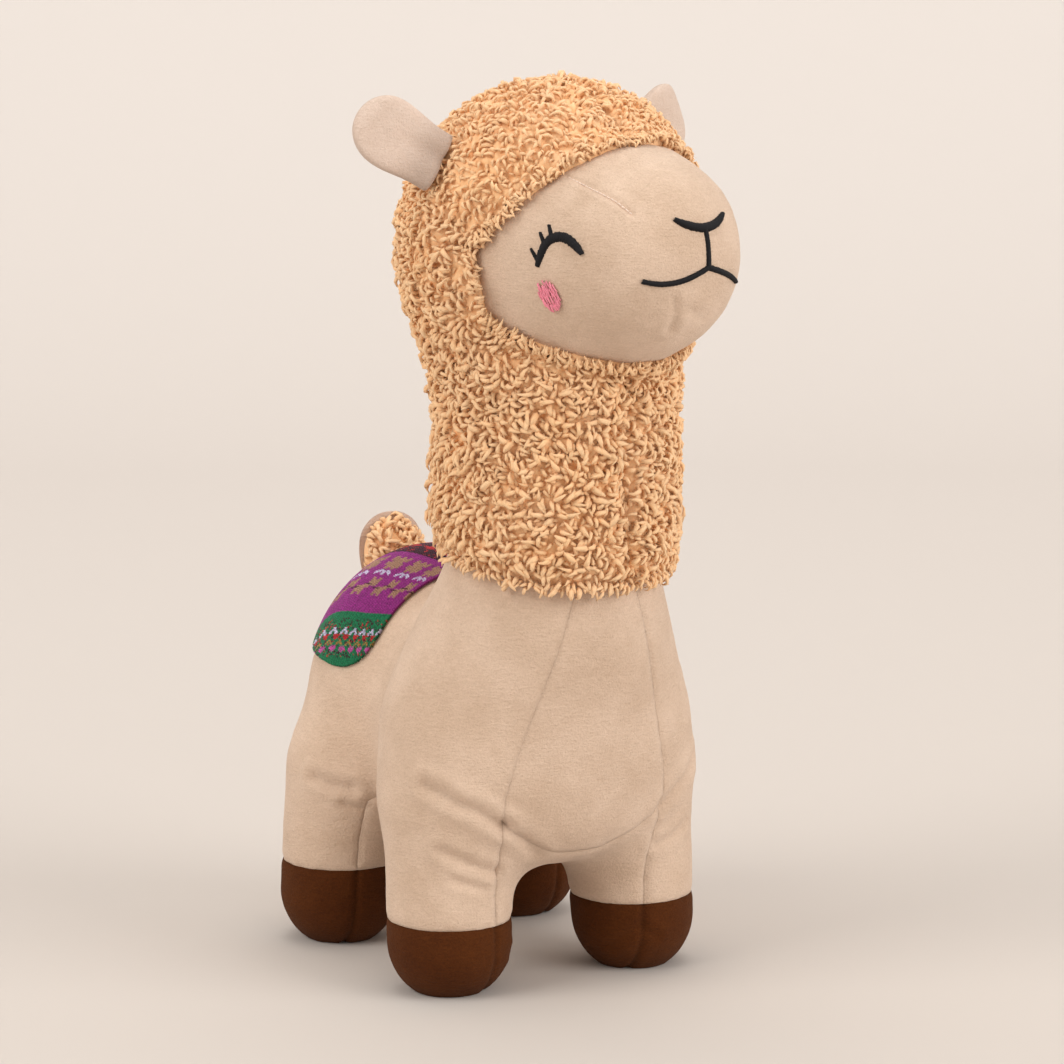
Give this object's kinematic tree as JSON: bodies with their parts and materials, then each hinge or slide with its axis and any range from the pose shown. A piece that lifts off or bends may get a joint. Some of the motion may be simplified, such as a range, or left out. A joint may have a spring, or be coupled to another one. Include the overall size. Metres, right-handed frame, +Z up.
{
  "type": "plush llama",
  "caption": "Stuffed standing plush llama with a curly fleece over head and neck, short-pile body, brown hooves, stitched sleeping face and a woven blanket.",
  "frame": {"origin": "on the ground, under the middle of the toy's bounding box", "axes": "+Z up from the ground to the crown, -Y the way the body faces, +X the llama's left"},
  "size_m": [0.1606, 0.2102, 0.3325],
  "materials": {
    "filling": "loose polyester fibre",
    "cream_velour": "short velour pile",
    "brown_velour": "short velour pile",
    "caramel_fleece": "curly long pile",
    "woven_stripes": "knitted stripes",
    "dark_thread": "satin embroidery",
    "pink_thread": "satin embroidery"
  },
  "bodies": {
    "root": {"stuffing": "filling", "body_side_right": "cream_velour", "body_side_left": "cream_velour", "chest_panel": "cream_velour", "belly_panel": "cream_velour", "hoof_front_right": "brown_velour", "hoof_front_left": "brown_velour", "hoof_rear_right": "brown_velour", "hoof_rear_left": "brown_velour", "mane_right": "caramel_fleece", "mane_left": "caramel_fleece", "face_panel": "cream_velour", "ear_right": "cream_velour", "ear_left": "cream_velour", "tail_fleece": "caramel_fleece", "tail_back": "cream_velour", "blanket": "woven_stripes", "eye_right": "dark_thread", "eye_left": "dark_thread", "cheek_right": "pink_thread", "cheek_left": "pink_thread", "nose_and_mouth": "dark_thread"}
  },
  "joints": []
}
